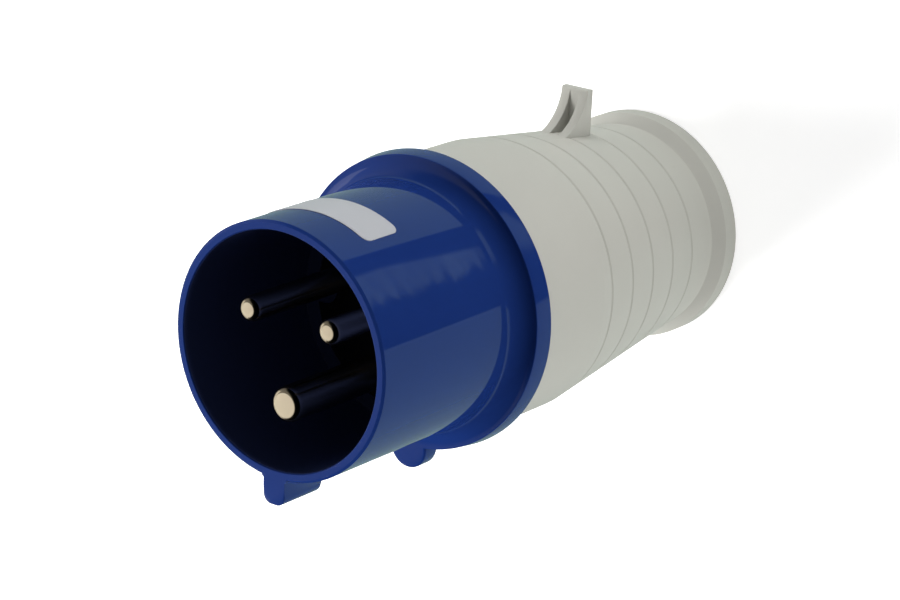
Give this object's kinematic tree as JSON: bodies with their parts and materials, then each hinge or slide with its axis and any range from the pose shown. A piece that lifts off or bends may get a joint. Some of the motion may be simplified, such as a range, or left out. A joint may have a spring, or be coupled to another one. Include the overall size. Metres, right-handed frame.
{
  "type": "industrial plug",
  "caption": "Round pin-and-sleeve cable plug with a blue shroud round its contact pins, a flange and a light grey ringed handle with a catch tab and flared end.",
  "frame": {"origin": "centre of the flared rear end, on the plug's axis; the plug stands on this end", "axes": "+Z along the plug's axis from the cable entry to the pins, +Y towards the key, the ear and the earth pin, -Y towards the catch tab and the label"},
  "size_m": [0.0598, 0.0682, 0.12],
  "materials": {
    "blue_shell": "gloss moulded",
    "grey_shell": "satin moulded",
    "black_insert": "satin moulded",
    "pin_metal": "turned and plated",
    "screw_steel": "zinc plated",
    "seal_rubber": "matt",
    "label_film": "printed film, left bare"
  },
  "bodies": {
    "root": {"front_housing": "blue_shell", "handle": "grey_shell", "contact_carrier": "black_insert", "contact_retainer": "black_insert", "clamp_strap": "black_insert", "gland_ring": "black_insert", "housing_seal": "seal_rubber", "cable_grommet": "seal_rubber", "rating_label": "label_film", "line_pin": "pin_metal", "neutral_pin": "pin_metal", "earth_pin": "pin_metal", "line_terminal_screw": "screw_steel", "neutral_terminal_screw": "screw_steel", "earth_terminal_screw": "screw_steel", "carrier_screw_left": "screw_steel", "carrier_screw_right": "screw_steel", "clamp_screw_left": "screw_steel", "clamp_screw_right": "screw_steel", "clamp_nut_left": "screw_steel", "clamp_nut_right": "screw_steel"}
  },
  "joints": []
}
